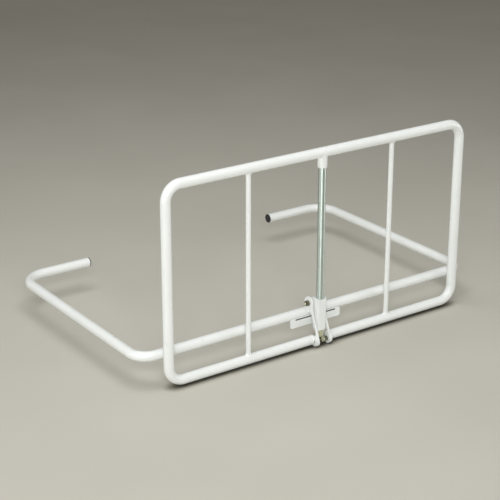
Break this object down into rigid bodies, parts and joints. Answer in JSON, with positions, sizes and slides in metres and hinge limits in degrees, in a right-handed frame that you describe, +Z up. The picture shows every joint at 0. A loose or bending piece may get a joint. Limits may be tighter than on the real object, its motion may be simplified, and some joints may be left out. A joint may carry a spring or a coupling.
{
  "type": "folding bed guard rail",
  "caption": "Bent-tube bed guard with thin bars and a centre rod; folds outwards on a bracket of its U-shaped under-mattress base once the sliding catch is lifted.",
  "frame": {"origin": "middle of the part's footprint, at the level of the bracket's lowest point", "axes": "+X along the guard, +Y from the guard towards the mattress, +Z up"},
  "size_m": [1.0474, 0.6842, 0.5212],
  "materials": {
    "white_paint": "satin white powder coat",
    "chrome_plate": "bright chrome plate",
    "zinc_plate": "yellow passivated zinc",
    "black_plastic": "moulded black plastic",
    "grey_plastic": "moulded grey plastic"
  },
  "bodies": {
    "base": {"base_frame": "white_paint", "end_plug_right": "black_plastic", "end_plug_left": "black_plastic", "wing_plate": "white_paint", "wing_weld_right": "white_paint", "wing_weld_left": "white_paint", "ear_right": "white_paint", "ear_left": "white_paint", "ear_weld_right": "white_paint", "ear_weld_left": "white_paint", "keeper_bolt": "zinc_plate", "keeper_nut": "zinc_plate", "keeper_washer_right": "zinc_plate", "keeper_washer_left": "zinc_plate", "keeper_sleeve": "zinc_plate"},
    "guard": {"guard_frame": "white_paint", "bar_right": "white_paint", "bar_left": "white_paint", "bar_weld_lower_right": "white_paint", "bar_weld_lower_left": "white_paint", "bar_weld_upper_right": "white_paint", "bar_weld_upper_left": "white_paint", "rod_socket": "white_paint", "slide_rod": "chrome_plate", "rod_foot": "zinc_plate", "pivot_pin": "zinc_plate", "pivot_spacer_right": "zinc_plate", "pivot_spacer_left": "zinc_plate", "hinge_lug_right": "white_paint", "hinge_lug_left": "white_paint"},
    "catch": {"catch_channel": "white_paint", "catch_bush": "grey_plastic", "catch_strap": "white_paint"}
  },
  "joints": [
    {"name": "guard_fold", "type": "hinge", "parent": "base", "child": "guard", "pos_m": [0, -0.3281, 0.014], "axis": [1, 0, 0], "range_deg": [0, 180]},
    {"name": "catch_lift", "type": "slide", "parent": "guard", "child": "catch", "axis": [0, 0, 1], "range_m": [0, 0.335]}
  ]
}
